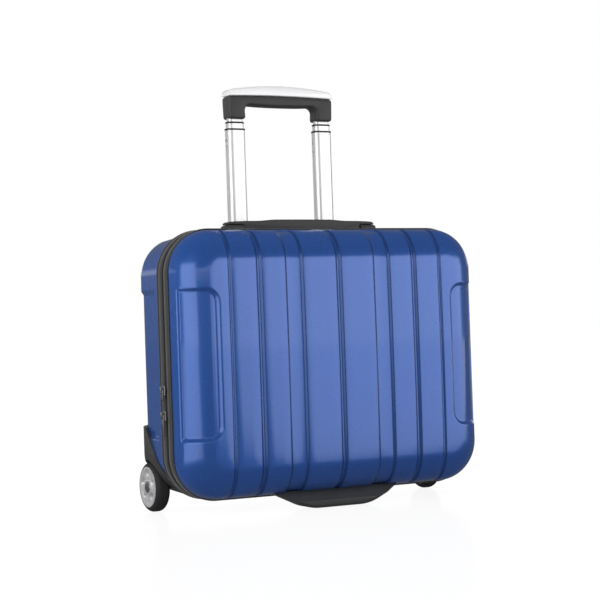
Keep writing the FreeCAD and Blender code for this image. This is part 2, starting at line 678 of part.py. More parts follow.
for side, word in ((-1, "left"), (1, "right")):
    end = "shell_width / 2 - wall - strap_inset - gap"
    low, high = ("buckle_half + gap", end) if side > 0 else ("-(%s)" % end, "-buckle_half - gap")
    finish_block("packing_strap_" + word, low, high, "strap_y", "strap_y + strap_thick",
                 "strap_z - strap_wide / 2", "strap_z + strap_wide / 2")
buckle = block("-buckle_half", "buckle_half", "strap_y - buckle_deep / 2 + 1",
               "strap_y + buckle_deep / 2 + 1", "strap_z - buckle_tall / 2", "strap_z + buckle_tall / 2")
buckle = soften(buckle, "3", lambda e: e.BoundBox.YLength > 5)
finish(buckle, "strap_buckle")

# ---- check and export ----------------------------------------------------------

doc.recompute()
bad = [o.Label for o in doc.Objects if "Invalid" in o.State or "Error" in o.State]
if bad:
    raise RuntimeError("not computed: " + ", ".join(bad))
for node in nodes:
    shape = node.Shape
    if shape.isNull() or not shape.isValid() or not shape.Solids:
        raise RuntimeError("bad shape: " + node.Label)
    shape.exportStep("parts/%s.step" % node.Label)
    b = shape.BoundBox
    print("%-22s solids %d vol %9.0f  x %7.1f %7.1f  y %7.1f %7.1f  z %6.1f %6.1f" % (
        node.Label, len(shape.Solids), shape.Volume, b.XMin, b.XMax, b.YMin, b.YMax, b.ZMin, b.ZMax))
print("nodes", len(nodes))
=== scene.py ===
import json
import logging
import math
from contextlib import contextmanager
from dataclasses import dataclass, field
from enum import Enum
from typing import Callable, Iterable, Iterator, Sequence

import bmesh
import bpy
from mathutils import Matrix, Vector


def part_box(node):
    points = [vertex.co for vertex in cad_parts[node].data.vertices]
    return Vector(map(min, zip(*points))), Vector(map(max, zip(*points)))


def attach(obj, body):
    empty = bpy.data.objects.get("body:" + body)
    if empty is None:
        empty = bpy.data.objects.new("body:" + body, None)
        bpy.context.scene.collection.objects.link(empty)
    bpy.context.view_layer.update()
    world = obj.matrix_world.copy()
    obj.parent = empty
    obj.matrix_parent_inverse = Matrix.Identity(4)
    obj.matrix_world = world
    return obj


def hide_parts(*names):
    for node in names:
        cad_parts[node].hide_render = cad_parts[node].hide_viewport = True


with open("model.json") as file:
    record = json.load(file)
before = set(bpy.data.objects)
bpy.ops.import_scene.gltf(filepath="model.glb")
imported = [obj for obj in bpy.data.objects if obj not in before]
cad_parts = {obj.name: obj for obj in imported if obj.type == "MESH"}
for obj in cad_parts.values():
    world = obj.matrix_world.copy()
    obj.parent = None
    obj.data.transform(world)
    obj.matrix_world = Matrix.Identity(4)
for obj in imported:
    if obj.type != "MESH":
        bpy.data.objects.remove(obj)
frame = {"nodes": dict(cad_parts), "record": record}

log = logging.getLogger("laptop_case")
MM = 0.001
WELD = 0.01 * MM
X, Y, Z = range(3)
Colour = tuple[float, float, float]
Point = tuple[float, float]
Piece = bpy.types.Object
Material = bpy.types.Material
Socket = bpy.types.NodeSocket
Value = Socket | float


class Half(Enum):
    """The two halves of the case."""

    FRONT = "front"
    REAR = "rear"


class Side(Enum):
    """Left and right, with the sign of X on that side."""

    LEFT = -1
    RIGHT = 1


# ---- modelling helpers

def clear_selection() -> None:
    """Leaves edit mode and deselects everything."""
    if bpy.context.object and bpy.context.object.mode != "OBJECT":
        bpy.ops.object.mode_set(mode="OBJECT")
    bpy.ops.object.select_all(action="DESELECT")


def make_active(piece: Piece) -> Piece:
    """Selects one piece alone and makes it the active one.

    Args:
        piece: the piece that the next operators act on.

    Returns:
        The same piece.
    """
    clear_selection()
    piece.select_set(True)
    bpy.context.view_layer.objects.active = piece
    return piece


@contextmanager
def editing(piece: Piece, mode: str = "FACE") -> Iterator[None]:
    """Holds a piece in edit mode with nothing selected.

    Args:
        piece: the piece to edit.
        mode: the select mode, VERT, EDGE or FACE.
    """
    make_active(piece)
    bpy.ops.object.mode_set(mode="EDIT")
    bpy.ops.mesh.select_mode(type=mode)
    bpy.ops.mesh.select_all(action="DESELECT")
    yield
    bpy.ops.object.mode_set(mode="OBJECT")


def select_whole() -> None:
    """Selects all of the piece in edit mode."""
    bpy.ops.mesh.select_all(action="SELECT")


def drop_faces(piece: Piece, test: Callable[[bmesh.types.BMFace], bool]) -> None:
    """Deletes the faces that a test accepts.

    Args:
        piece: the piece in edit mode.
        test: says whether a face goes.
    """
    bpy.ops.mesh.select_mode(type="FACE")
    bpy.ops.mesh.select_all(action="DESELECT")
    bm = bmesh.from_edit_mesh(piece.data)
    bm.normal_update()
    for face in [f for f in bm.faces if test(f)]:
        face.select_set(True)
    bmesh.update_edit_mesh(piece.data)
    bpy.ops.mesh.delete(type="FACE")


def bevel_edges(piece: Piece, test: Callable[[Vector, Vector], bool],
                offset: float, segments: int) -> None:
    """Rounds the edges that a test on their two ends accepts.

    Args:
        piece: the piece in edit mode.
        test: takes both ends of an edge and says whether it is rounded.
        offset: the bevel's offset in metres.
        segments: faces across the rounding.
    """
    bpy.ops.mesh.select_all(action="DESELECT")
    bpy.ops.mesh.select_mode(type="EDGE")
    bm = bmesh.from_edit_mesh(piece.data)
    for edge in [e for e in bm.edges if test(e.verts[0].co, e.verts[1].co)]:
        edge.select_set(True)
    bmesh.update_edit_mesh(piece.data)
    bpy.ops.mesh.bevel(offset=offset, segments=segments, affect="EDGES")


def runs_along(axis: int) -> Callable[[Vector, Vector], bool]:
    """A test that accepts the edges that run along one axis."""
    return lambda a, b: sum(abs(a[i] - b[i]) for i in (X, Y, Z) if i != axis) < WELD / 10


def slice_across(axis: int, places: Iterable[float]) -> None:
    """Cuts new edges right across the piece in edit mode.

    Args:
        axis: the axis that the cuts are square to.
        places: where they are along it, in metres.
    """
    for place in places:
        point, normal = Vector(), Vector()
        point[axis], normal[axis] = place, 1.0
        select_whole()
        bpy.ops.mesh.bisect(plane_co=point, plane_no=normal)


def face_outwards() -> None:
    """Turns every face of the piece in edit mode outwards."""
    select_whole()
    bpy.ops.mesh.normals_make_consistent(inside=False)


def placed(name: str, data: bpy.types.ID) -> Piece:
    """Puts a mesh, lamp or camera in the scene as an object of its own.

    Args:
        name: the object's name.
        data: its mesh, lamp or camera.

    Returns:
        The new object.
    """
    made = bpy.data.objects.new(name, data)
    bpy.context.collection.objects.link(made)
    return made


def shade(piece: Piece, angle: float = 50.0) -> None:
    """Shades a piece smooth, up to an angle in degrees between faces."""
    make_active(piece)
    bpy.ops.object.shade_smooth_by_angle(angle=math.radians(angle))


def add_block(name: str, low: Sequence[float], high: Sequence[float]) -> Piece:
    """Adds a box between two corners, with its place in its mesh.

    Args:
        name: the piece's name.
        low: lowest corner in metres.
        high: highest corner in metres.

    Returns:
        The new piece.
    """
    clear_selection()
    centre = [(a + b) / 2 for a, b in zip(low, high)]
    bpy.ops.mesh.primitive_cube_add(size=1, location=centre)
    piece = bpy.context.object
    piece.name = piece.data.name = name
    piece.scale = [b - a for a, b in zip(low, high)]
    bpy.ops.object.transform_apply(location=True, rotation=True, scale=True)
    return piece


def apply_modifier(piece: Piece, kind: str, **settings: object) -> None:
    """Adds a modifier with its settings and applies it.

    Args:
        piece: the piece to change.
        kind: the modifier's type.
        **settings: values of the modifier's own properties.
    """
    make_active(piece)
    made = piece.modifiers.new(kind.title(), kind)
    for word, value in settings.items():
        setattr(made, word, value)
    bpy.ops.object.modifier_apply(modifier=made.name)


def take_away(piece: Piece, tool: Piece) -> None:
    """Cuts one solid out of another and removes the tool.

    Args:
        piece: the piece that stays.
        tool: the solid that is cut out of it.
    """
    apply_modifier(piece, "BOOLEAN", operation="DIFFERENCE", object=tool, solver="EXACT")
    bpy.data.objects.remove(tool, do_unlink=True)


def ease_edges(piece: Piece, width: float, segments: int, angle: float) -> None:
    """Rounds the sharp edges a little and shades the rest smooth.

    Args:
        piece: the piece to finish.
        width: width of the rounding in metres.
        segments: faces across each rounding.
        angle: the least angle in degrees of an edge that is rounded.
    """
    apply_modifier(piece, "BEVEL", width=width, segments=segments, limit_method="ANGLE",
                   angle_limit=math.radians(angle), use_clamp_overlap=True,
                   miter_outer="MITER_ARC")
    shade(piece, 40)


def cleaned_copy(node: str) -> Piece:
    """Copies a machined piece's mesh and joins its facets.

    Args:
        node: the CAD node.

    Returns:
        The new piece.
    """
    source = frame["nodes"][node]
    clear_selection()
    piece = placed(node + "_formed", source.data.copy())
    with editing(piece, "VERT"):
        select_whole()
        bpy.ops.mesh.remove_doubles(threshold=WELD)
        bpy.ops.mesh.dissolve_limited(angle_limit=math.radians(0.5))
    return piece


def settle(piece: Piece, node: str,
           finish: "Moulded | Woven | None" = None) -> Piece:
    """Puts a finished piece in place of its CAD node, on that node's body and slot.

    Args:
        piece: the finished piece.
        node: the CAD node.
        finish: its finish, where it isn't that of its slot.

    Returns:
        The same piece.
    """
    bodies = frame["record"]["behaviour"]["bodies"]
    body = next(body for body, nodes in bodies.items() if node in nodes)
    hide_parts(node)
    piece.data.materials.clear()
    piece.data.materials.append(paint(finish or FINISHES[SLOTS[node]]))
    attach(piece, body)
    log.info("%s: %d faces on %s", piece.name, len(piece.data.polygons), body)
    return piece


def finished(piece: Piece, node: str, width: float, segments: int = 2, angle: float = 35.0,
             finish: "Moulded | Woven | None" = None) -> Piece:
    """Eases a piece's edges, as in ease_edges, and settles it in place of its CAD node."""
    ease_edges(piece, width, segments, angle)
    return settle(piece, node, finish)


def extruded(name: str, outline: Sequence[Point], near: float,
             far: float) -> Piece:
    """Extrudes a closed outline in X and Z along Y.

    Args:
        name: the piece's name.
        outline: corners as X and Z in metres.
        near: where it starts along Y.
        far: where it ends along Y.

    Returns:
        The new solid.
    """
    mesh = bpy.data.meshes.new(name)
    mesh.from_pydata([(x, near, z) for x, z in outline], [], [list(range(len(outline)))])
    piece = placed(name, mesh)
    with editing(piece):
        select_whole()
        bpy.ops.mesh.extrude_region_move(TRANSFORM_OT_translate={"value": (0, far - near, 0)})
        face_outwards()
    return piece


def turned(name: str, profile: Sequence[Point], centre: Vector, side: Side,
           steps: int) -> Piece:
    """Spins a closed profile round the X axis of a wheel.

    Args:
        name: the piece's name.
        profile: distance outwards along X from the inner face, and radius, in metres.
        centre: where the inner face meets the axis.
        side: the side that the outer face looks to.
        steps: faces round the axis.

    Returns:
        The new closed solid.
    """
    mesh = bpy.data.meshes.new(name)
    points = [(centre.x + side.value * x, centre.y, centre.z + r) for x, r in profile]
    count = len(points)
    mesh.from_pydata(points, [(i, (i + 1) % count) for i in range(count)], [])
    piece = placed(name, mesh)
    with editing(piece, "VERT"):
        select_whole()
        bpy.ops.mesh.spin(steps=steps, angle=2 * math.pi, center=centre, axis=(1, 0, 0))
        select_whole()
        bpy.ops.mesh.remove_doubles(threshold=2 * WELD)
        face_outwards()
    return piece


def arc(centre: Point, radius: float, start: float, stop: float, steps: int = 8) -> list[Point]:
    """Points of an arc.

    Args:
        centre: the arc's centre.
        radius: its radius in metres.
        start: first angle in degrees.
        stop: last angle in degrees.
        steps: pieces that the arc is made of.

    Returns:
        The points from start to stop.
    """
    turns = [math.radians(start + (stop - start) * i / steps) for i in range(steps + 1)]
    return [(centre[0] + radius * math.cos(t), centre[1] + radius * math.sin(t)) for t in turns]


def smooth_step(low: float, high: float, x: float) -> float:
    """Runs smoothly from 0 at low to 1 at high."""
    share = max(0.0, min(1.0, (x - low) / (high - low)))
    return share * share * (3 - 2 * share)


@dataclass
class RoundedOutline:
    """The rounded rectangle in X and Z that the shells, bands and linings follow."""

    low: Vector
    high: Vector
    corner: float

    def outward(self, at: Vector) -> Vector:
        """The direction away from the outline's inside at a point, or zero well inside."""
        mid = (self.low + self.high) / 2
        reach_x = (self.high.x - self.low.x) / 2 - self.corner
        reach_z = (self.high.z - self.low.z) / 2 - self.corner
        x, z = at.x - mid.x, at.z - mid.z
        out = Vector((x - max(-reach_x, min(reach_x, x)), 0, z - max(-reach_z, min(reach_z, z))))
        return out.normalized() if out.length > 1e-7 else Vector((0, 0, 0))

    def tube(self, name: str, near: float, far: float) -> Piece:
        """Makes the outline's side wall between two places along Y, open at both ends."""
        piece = add_block(name, (self.low.x, near, self.low.z), (self.high.x, far, self.high.z))
        with editing(piece, "EDGE"):
            bevel_edges(piece, runs_along(Y), self.corner, 32)
            drop_faces(piece, lambda f: abs(f.normal.y) > 0.9)
        return piece


# ---- finishes

class NodeSheet:
    """A node tree, with short calls to add and join nodes."""

    def __init__(self, owner: Material | bpy.types.World) -> None:
        """Takes up the node tree of a new material or room."""
        owner.use_nodes = True
        self.owner = owner
        self.tree = owner.node_tree
        self.shader = self.tree.nodes.get("Principled BSDF")

    @classmethod
    def material(cls, name: str) -> "NodeSheet":
        """Starts a new material with a principled shader."""
        return cls(bpy.data.materials.new(name))

    def add(self, kind: str, **values: object) -> bpy.types.Node:
        """Adds a node and sets its properties or input sockets.

        Args:
            kind: the node's type name, without the word that all of them start with.
            **values: property values, or socket values by socket name with _ for a space.

        Returns:
            The new node.
        """
        node = self.tree.nodes.new("ShaderNode" + kind)
        for word, value in values.items():
            if hasattr(node, word):
                setattr(node, word, value)
            else:
                self.feed(value, node.inputs[word.replace("_", " ")])
        return node

    def feed(self, value: Value | Sequence[float], target: Socket) -> None:
        """Links an output to an input, or sets the input where the value is constant."""
        if isinstance(value, Socket):
            self.tree.links.new(value, target)
        else:
            target.default_value = value

    def set(self, **values: object) -> None:
        """Sets or links the shader's sockets."""
        for word, value in values.items():
            self.feed(value, self.shader.inputs[word.replace("_", " ")])

    def sum_up(self, operation: str, first: Value, *others: Value) -> Value:
        """Joins values one after another with one operation of arithmetic."""
        total = first
        for other in others:
            node = self.add("Math", operation=operation)
            self.feed(total, node.inputs[0])
            self.feed(other, node.inputs[1])
            total = node.outputs[0]
        return total

    def spread(self, factor: Value, low: float, high: float, start: float = 0.0,
               stop: float = 1.0, kind: str = "LINEAR") -> Socket:
        """Maps a value that runs from start to stop to one that runs from low to high."""
        return self.add("MapRange", interpolation_type=kind, Value=factor, From_Min=start,
                        From_Max=stop, To_Min=low, To_Max=high).outputs["Result"]

    def ramp(self, factor: Value, start: float, stop: float, low: float = 0.0,
             high: float = 1.0) -> Socket:
        """Maps a value smoothly from a span to a range."""
        return self.spread(factor, low, high, start, stop, "SMOOTHSTEP")

    def mixed(self, factor: Value, first: Value | Colour, second: Value | Colour,
              colours: bool = True) -> Socket:
        """Mixes two colours or two numbers by a factor."""
        node = self.add("Mix", data_type="RGBA" if colours else "FLOAT")
        self.feed(factor, node.inputs[0])
        for value, place in zip((first, second), (6, 7) if colours else (2, 3)):
            self.feed((*value, 1) if isinstance(value, tuple) else value, node.inputs[place])
        return node.outputs[2 if colours else 0]

    def emboss(self, height: Socket, strength: float, distance: float) -> None:
        """Turns a height into the surface's bump."""
        bump = self.add("Bump", Strength=strength, Distance=distance, Height=height)
        self.set(Normal=bump.outputs["Normal"])

    def places(self) -> Socket:
        """The place on the piece, in metres."""
        return self.add("TexCoord").outputs["Object"]

    def split(self, source: Socket) -> tuple[Socket, ...]:
        """Splits a direction or place into X, the way ahead, Z and its heading."""
        apart = self.add("SeparateXYZ")
        self.feed(source, apart.inputs[0])
        ahead = self.sum_up("MULTIPLY", apart.outputs["Y"], -1.0)
        heading = self.sum_up("ARCTAN2", apart.outputs["X"], ahead)
        return apart.outputs["X"], ahead, apart.outputs["Z"], heading


@dataclass(frozen=True)
class Moulded:
    """A moulded plastic, rubber or metal surface with fine grain and slight wear, and, where it is
    asked for, painted shade along the sloping sides of its grooves.
    """

    name: str
    colour: Colour
    shade: Colour
    roughness: tuple[float, float]
    grain: float = 900.0
    depth: float = 0.00004
    metallic: float = 0.0
    coat: float = 0.0
    coat_roughness: float = 0.03
    specular: float = 0.5
    # how strong the painted shade on the grooves' sloping sides is; 0 paints none
    crease: float = 0.0

    def paint_groove_shade(self, sheet: NodeSheet) -> None:
        """Paints shade on the grooves' sloping sides: darkens the paint and thins its coat where
        the mesh marks them.
        """
        shade_mask = sheet.add("Attribute", attribute_name="crease")
        share = sheet.sum_up("MULTIPLY", shade_mask.outputs["Fac"], self.crease)
        paint_now = sheet.shader.inputs["Base Color"].links[0].from_socket
        # painted shade: by the marked share, the paint goes towards a quarter of its second tone
        # and the coat is thinned to a quarter
        left = 0.25
        painted_shade = tuple(c * left for c in self.shade)
        sheet.set(Base_Color=sheet.mixed(share, paint_now, painted_shade),
                  Coat_Weight=sheet.spread(share, self.coat, self.coat * left))

    def build(self) -> Material:
        """Makes the material and returns it."""
        sheet = NodeSheet.material(self.name)
        at = sheet.places()
        cloud = sheet.add("TexNoise", Scale=22.0, Detail=3.0, Vector=at).outputs["Fac"]
        fine = sheet.add("TexNoise", Scale=self.grain, Detail=2.0, Vector=at).outputs["Fac"]
        sheet.set(Base_Color=sheet.mixed(cloud, self.colour, self.shade),
                  Roughness=sheet.spread(cloud, *self.roughness), Metallic=self.metallic,
                  Coat_Weight=self.coat, Coat_Roughness=self.coat_roughness,
                  Specular_IOR_Level=self.specular)
        sheet.emboss(fine, 0.6, self.depth)
        if self.crease:
            self.paint_groove_shade(sheet)
        return sheet.owner


@dataclass(frozen=True)
class Woven:
    """A woven cloth, tape or webbing with crossing threads."""

    name: str
    colour: Colour
    shade: Colour
    pitch: float = 0.0009
    depth: float = 0.00018
    roughness: float = 0.85
    sheen: float = 0.3

    def build(self) -> Material:
        """Makes the material and returns it."""
        sheet = NodeSheet.material(self.name)
        at = sheet.places()
        turn = 6.2832
        scale = turn / 20.0 / self.pitch
        first, second, third = (
            sheet.add("TexWave", wave_type="BANDS", bands_direction=way, Scale=scale,
                      Distortion=0.4, Vector=at).outputs["Fac"] for way in "XYZ")
        threads = sheet.sum_up("MULTIPLY", sheet.sum_up("MAXIMUM", first, second), third)
        sheet.set(Base_Color=sheet.mixed(threads, self.shade, self.colour),
                  Roughness=self.roughness, Sheen_Weight=self.sheen)
        sheet.emboss(threads, 0.7, self.depth)
        return sheet.owner


class Palette:
    """Every finish of the case, each made once."""

    # the blue carries painted shade on its grooves' sloping sides, at 0.6 of full strength
    BLUE = Moulded("gloss_blue", (0.022, 0.097, 0.390), (0.020, 0.092, 0.372), (0.25, 0.30),
                   grain=60.0, depth=0.0000001, crease=0.6, metallic=0.45, coat=1.0,
                   coat_roughness=0.05)
    BLACK = Moulded("satin_black", (0.030, 0.030, 0.031), (0.040, 0.040, 0.041), (0.36, 0.46))
    FOOT = Moulded("foot_charcoal", (0.036, 0.037, 0.038), (0.046, 0.047, 0.048), (0.30, 0.38),
                   grain=1100.0, depth=0.00002)
    GRIP = Moulded("grip_black", (0.034, 0.034, 0.035), (0.046, 0.046, 0.047), (0.34, 0.42),
                   grain=1400.0, depth=0.00003, specular=0.35)
    DEEP = Moulded("deep_black", (0.008, 0.008, 0.009), (0.014, 0.014, 0.015), (0.4, 0.5))
    CAP = Moulded("cap_silver", (0.90, 0.90, 0.90), (0.84, 0.84, 0.85), (0.20, 0.26),
                  grain=400.0, depth=0.000004, metallic=0.25, coat=0.4)
    TUBE = Moulded("tube_bright", (0.90, 0.90, 0.905), (0.87, 0.87, 0.88), (0.30, 0.34),
                   grain=500.0, depth=0.000002, metallic=0.75)
    RUBBER = Moulded("tyre_rubber", (0.018, 0.018, 0.019), (0.028, 0.028, 0.029), (0.55, 0.68),
                     grain=600.0, depth=0.00008, specular=0.35)
    HUB = Moulded("hub_silver", (0.66, 0.66, 0.67), (0.60, 0.60, 0.61), (0.30, 0.36),
                  grain=500.0, depth=0.000003, metallic=0.55)
    STEEL = Moulded("zinc_steel", (0.62, 0.62, 0.64), (0.50, 0.50, 0.52), (0.25, 0.38),
                    metallic=1.0, depth=0.00001)
    NICKEL = Moulded("nickel", (0.46, 0.45, 0.46), (0.34, 0.335, 0.34), (0.18, 0.30),
                     metallic=1.0, depth=0.00001)
    TAPE = Woven("zip_tape", (0.034, 0.034, 0.035), (0.013, 0.013, 0.014), roughness=0.6,
                 sheen=0.25)
    LINING = Woven("lining_cloth", (0.070, 0.071, 0.080), (0.040, 0.040, 0.046), pitch=0.0012)
    PAD = Woven("sleeve_cloth", (0.045, 0.045, 0.050), (0.022, 0.022, 0.025), pitch=0.0014)
    WEB = Woven("webbing", (0.030, 0.030, 0.032), (0.012, 0.012, 0.013), pitch=0.0018,
                depth=0.0003)

    def __init__(self) -> None:
        """Builds nothing until a finish is asked for."""
        self.made: dict[str, Material] = {}

    def __call__(self, finish: Moulded | Woven) -> Material:
        """Returns the finish's material, made on first use."""
        if finish.name not in self.made:
            self.made[finish.name] = finish.build()
        return self.made[finish.name]


paint = Palette()

# The finish of each material slot of the record, and the slot of each CAD node.
FINISHES = {
    "black_band": Palette.TAPE, "zip_coil": Palette.DEEP, "hinge_cloth": Palette.TAPE,
    "black_plastic": Palette.BLACK, "grip_plastic": Palette.GRIP, "cap_silver": Palette.CAP,
    "tube_aluminium": Palette.TUBE, "collar_black": Palette.DEEP,
    "tyre_rubber": Palette.RUBBER, "hub_silver": Palette.HUB, "axle_steel": Palette.STEEL,
    "slider_metal": Palette.NICKEL, "lining_cloth": Palette.LINING,
    "sleeve_foam": Palette.PAD, "strap_webbing": Palette.WEB, "blue_shell": Palette.BLUE}
SLOTS = {part["node"]: part["material_slot"] for part in frame["record"]["subparts"]}

# How wide the softened edges of each machined piece are, in mm.
EASED = {
    "trolley_bezel": 1.2, "carry_mount_left": 0.9, "carry_mount_right": 0.9,
    "wheel_housing_left": 0.8, "wheel_housing_right": 0.8, "tube_bracket": 0.7,
    "strap_buckle": 0.8, "first_collar_left": 0.3, "first_collar_right": 0.3,
    "second_collar_left": 0.3, "second_collar_right": 0.3, "zip_slider_lower": 0.5,
    "zip_slider_upper": 0.5, "zip_puller_lower": 0.3, "zip_puller_upper": 0.3,
    "axle_left": 0.4, "axle_right": 0.4}


# ---- the two moulded halves

@dataclass
class HalfShell:
    """One glossy moulded half with its pressed grooves and side panels."""

    half: Half
    corner: float = 52.4 * MM
    front_edge: float = 40 * MM
    rear_edge: float = 36 * MM
    front_draft: float = math.radians(5.5)
    rear_draft: float = math.radians(3.0)
    depth: float = 2.8 * MM
    slope: float = 4.8 * MM
    steps: int = 6
    steepness: float = 0.50
    flush: Vector = field(default_factory=lambda: Vector((1.8 * MM, 0, 1.8 * MM)))
    fade: Point = (3 * MM, 13 * MM)
    wall: float = 2.2 * MM
    crown: float = 5200 * MM
    panel_at: float = 160.4 * MM
    panel_low: float = 89.6 * MM
    panel_high: float = 271.8 * MM
    panel_corner: float = 18.0 * MM
    panel_slope: float = 5.0 * MM
    panel_start: float = 14.5 * MM
    shield_skin: float = 3.3 * MM
    shield_foot: float = 42.2 * MM
    shield_slant: tuple[int, int, int] = (0, -62, 59)
    crown_lines_x: tuple[int, ...] = (16, 28, 38, 61, 84, 94, 124, 135, 192)
    crown_lines_z: tuple[int, ...] = (72, 126, 144, 162, 180, 198, 216, 234, 290)
    grooves: tuple[Point, ...] = (
        (-4.9 * MM, 4.9 * MM), (103.4 * MM, 113.2 * MM), (48.0 * MM, 74.5 * MM),
        (143.4 * MM, 149.8 * MM))

    def __post_init__(self) -> None:
        """Reads the half's place from its CAD node."""
        self.node = self.half.value + "_shell"
        low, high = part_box(self.node)
        self.mid_x = (low.x + high.x) / 2
        self.low, self.high = low, high
        front = self.half is Half.FRONT
        if front:
            self.low, self.high = low - self.flush, high + self.flush
        self.outward = -1 if front else 1
        self.lip = high.y if front else low.y
        self.face = low.y if front else high.y
        self.edge = self.front_edge if front else self.rear_edge
        self.draft = self.front_draft if front else self.rear_draft

    def strips(self) -> list[Point]:
        """Every pressed strip from left to right, measured from the middle."""
        mirrored = [(-b, -a) for a, b in self.grooves if a > 0]
        return sorted(mirrored + list(self.grooves))

    def slope_of(self, strip: Point) -> float:
        """How far a strip's sloping side runs across, less on a narrow strip."""
        return min(self.slope, 0.48 * (strip[1] - strip[0]))

    def lean_in(self, piece: Piece) -> None:
        """Leans the sides in by the draft, which shrinks the outline away from the lip."""
        outline = RoundedOutline(self.low, self.high, self.corner)
        for v in piece.data.vertices:
            v.co -= outline.outward(v.co) * abs(v.co.y - self.lip) * math.tan(self.draft)

    def blank(self) -> Piece:
        """Makes the plain rounded form, open at the lip.

        Returns:
            The form with rounded corners and a rounded face edge.
        """
        piece = add_block(self.node + "_moulded", self.low, self.high)
        with editing(piece, "EDGE"):
            bevel_edges(piece, runs_along(Y), self.corner, 24)
            drop_faces(piece, lambda f: abs(f.calc_center_median().y - self.lip) < WELD)
        self.lean_in(piece)
        with editing(piece, "EDGE"):
            reach = self.edge * math.tan((math.pi / 2 - self.draft) / 2)
            bevel_edges(piece, lambda a, b: abs(a.y - self.face) + abs(b.y - self.face) < WELD,
                        reach, 16)
        return piece

    def score(self, piece: Piece) -> None:
        """Scores the lines of the grooves and panels, and enough others to crown the face."""
        across = {0.0}
        for strip in self.strips():
            steps = [self.slope_of(strip) * i / self.steps for i in range(self.steps + 1)]
            across |= {strip[0] + step for step in steps} | {strip[1] - step for step in steps}
        fine, edge_lines = 1.25 * MM, range(-1, 16)
        for sign in (-1, 1):
            across |= {sign * (self.panel_at + i * fine) for i in edge_lines}
            across |= {sign * x * MM for x in self.crown_lines_x}
        heights = {self.panel_low + i * fine for i in edge_lines}
        heights |= {self.panel_high - i * fine for i in edge_lines}
        heights |= {z * MM for z in self.crown_lines_z}
        along = [self.panel_start + i * 1.2 * MM for i in range(-1, 6)]
        along += [i * MM for i in (2, 4, 6, 8, 10)]
        with editing(piece):
            slice_across(X, [self.mid_x + x for x in sorted(across)])
            slice_across(Z, sorted(heights))
            slice_across(Y, [self.lip + self.outward * y for y in along])

    def raise_crown(self, piece: Piece) -> None:
        """Sets the face back towards its edges, so that it is gently crowned."""
        mid_z = (self.low.z + self.high.z) / 2
        for v in piece.data.vertices:
            share = smooth_step(0.35, 1.0, (v.co.y - self.lip) / (self.face - self.lip))
            fall = ((v.co.x - self.mid_x) ** 2 + 0.7 * (v.co.z - mid_z) ** 2) / (2 * self.crown)
            v.co.y -= self.outward * share * fall

    def panel_depth(self, at: Vector) -> float:
        """How deep a side panel is pressed at a place, from 0 outside it to 1 on its floor."""
        start = self.lip + self.outward * self.panel_start
        radius = self.panel_corner
        mid_z = (self.panel_low + self.panel_high) / 2
        dx = self.panel_at + radius - abs(at.x - self.mid_x)
        dz = abs(at.z - mid_z) - (self.panel_high - self.panel_low) / 2 + radius
        beyond = math.hypot(max(dx, 0), max(dz, 0)) + min(max(dx, dz), 0) - radius
        ahead = self.outward * (at.y - start)
        return smooth_step(0.0, self.panel_slope, min(-beyond, ahead * 1.4))

    def over_strips(self, at: Vector, shape: Callable[[float, float], float]) -> float:
        """The greatest value of a shape over all strips, which fades out near the lip.

        Args:
            at: the place on the shell.
            shape: takes a strip's slope and how far inside the strip the place is.

        Returns:
            The value at that place.
        """
        x = at.x - self.mid_x
        most = max(shape(self.slope_of(strip), min(x - strip[0], strip[1] - x))
                   for strip in self.strips())
        return max(0.0, most) * smooth_step(*self.fade, abs(at.y - self.lip))

    def groove_depth(self, at: Vector) -> float:
        """How deep the grooves are at a place, in metres."""
        return self.over_strips(at, lambda slope, inside: (
            slope * self.steepness * smooth_step(0.0, slope, inside)))

    def groove_shade_at(self, at: Vector) -> float:
        """How far a place lies on a groove's sloping side, 1 on its steepest line; this is where
        the shell's painted shade goes.
        """
        return self.over_strips(at, lambda slope, inside: (
            4 * (inside / slope) * (1 - inside / slope)))

    def press(self, piece: Piece) -> None:
        """Presses the grooves and the side panels inwards, and stores where painted shade goes on
        the grooves' sloping sides.
        """
        with editing(piece):
            face_outwards()
        normals = [v.normal.copy() for v in piece.data.vertices]
        # mesh attribute that carries the painted groove shade to the material
        crease = piece.data.attributes.new("crease", "FLOAT", "POINT")
        for v, normal in zip(piece.data.vertices, normals):
            crease.data[v.index].value = self.groove_shade_at(v.co)
            v.co -= normal * max(self.depth * self.panel_depth(v.co), self.groove_depth(v.co))

    def form(self) -> Piece:
        """Makes the whole shell with its wall.

        Returns:
            The shell, open where other pieces sit in it.
        """
        piece = self.blank()
        self.score(piece)
        self.raise_crown(piece)
        self.press(piece)
        if self.half is Half.REAR:
            self.open_for_fittings(piece)
        apply_modifier(piece, "SOLIDIFY", thickness=self.wall, offset=-1.0)
        return piece

    def build(self) -> Piece:
        """Builds the half and puts it in place of its CAD node.

        Returns:
            The finished shell.
        """
        piece = self.form()
        return finished(piece, self.node, 1.0 * MM, 3, 24)

    def open_for_fittings(self, piece: Piece) -> None:
        """Opens the rear half where the wheel housings and the handle bezel sit.

        A wheel's opening ends at a slanting line, which rises to the back from its foot.
        """
        gap = 0.15 * MM
        low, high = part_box("trolley_bezel")
        left, right = low.x - gap, high.x + gap
        bezel_front, bezel_under = low.y - gap, low.z - gap
        shield_low, shield_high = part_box("wheel_housing_right")
        near_x = shield_low.x + self.shield_skin - self.mid_x
        front_y, top_z = shield_low.y + gap, shield_high.z + gap
        foot = Vector((0, front_y + 0.2 * MM, self.shield_foot))
        turn = Vector(self.shield_slant).normalized()
        with editing(piece):
            slice_across(X, (self.mid_x - near_x, self.mid_x + near_x, left, right))
            slice_across(Y, (bezel_front, front_y))
            slice_across(Z, (bezel_under, top_z))
            select_whole()
            bpy.ops.mesh.bisect(plane_co=foot, plane_no=turn)

